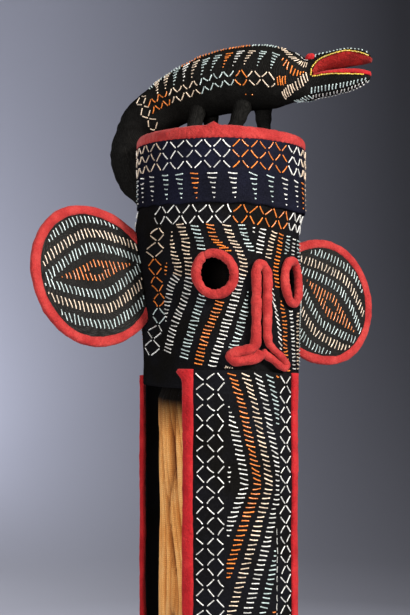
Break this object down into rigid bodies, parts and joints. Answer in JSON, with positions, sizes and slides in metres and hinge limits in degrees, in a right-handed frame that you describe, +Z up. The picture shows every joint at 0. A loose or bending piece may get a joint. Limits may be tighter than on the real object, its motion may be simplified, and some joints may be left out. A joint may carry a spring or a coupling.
{
  "type": "beaded cloth elephant mask on its stand",
  "caption": "Tall beaded cloth hood mask with disc ears, ring eyes and long front and back panels, a stuffed crocodile on its crown, on a padded stand.",
  "frame": {"origin": "centre of the foot's underside, on the axis of the hood", "axes": "+Z up, the mask's face looks along -Y, +X towards the mask's own left"},
  "size_m": [0.5404, 0.3016, 1.4057],
  "materials": {
    "black_cloth": "plain-woven black cotton, dull",
    "navy_cloth": "plain-woven blue-black cotton, dull",
    "red_felt": "napped red wool cloth",
    "sackcloth": "coarse tan sackcloth",
    "dark_wood": "dark stained, satin",
    "beads_white": "opaque white seed beads",
    "beads_cream": "opaque pinkish cream seed beads",
    "beads_blue": "opaque pale blue-green seed beads",
    "beads_orange": "opaque orange seed beads",
    "beads_yellow": "opaque yellow seed beads"
  },
  "bodies": {
    "root": {"support_foot": "dark_wood", "support_bolster": "sackcloth", "hood": "black_cloth", "hood_top": "black_cloth", "brow_band": "navy_cloth", "crown_binding": "red_felt", "eye_ring_right": "red_felt", "eye_ring_left": "red_felt", "nose": "red_felt", "ear_right": "black_cloth", "ear_binding_right": "red_felt", "ear_left": "black_cloth", "ear_binding_left": "red_felt", "front_panel": "black_cloth", "front_binding_right": "red_felt", "front_binding_left": "red_felt", "front_binding_bottom": "red_felt", "back_panel": "black_cloth", "back_binding_right": "red_felt", "back_binding_left": "red_felt", "back_binding_bottom": "red_felt", "crocodile_body": "black_cloth", "crocodile_eye_right": "red_felt", "crocodile_eye_left": "red_felt", "crocodile_mouth_upper": "red_felt", "crocodile_mouth_lower": "red_felt", "crocodile_leg_front_right": "black_cloth", "crocodile_leg_front_left": "black_cloth", "crocodile_leg_hind_right": "black_cloth", "crocodile_leg_hind_left": "black_cloth"}
  },
  "joints": []
}
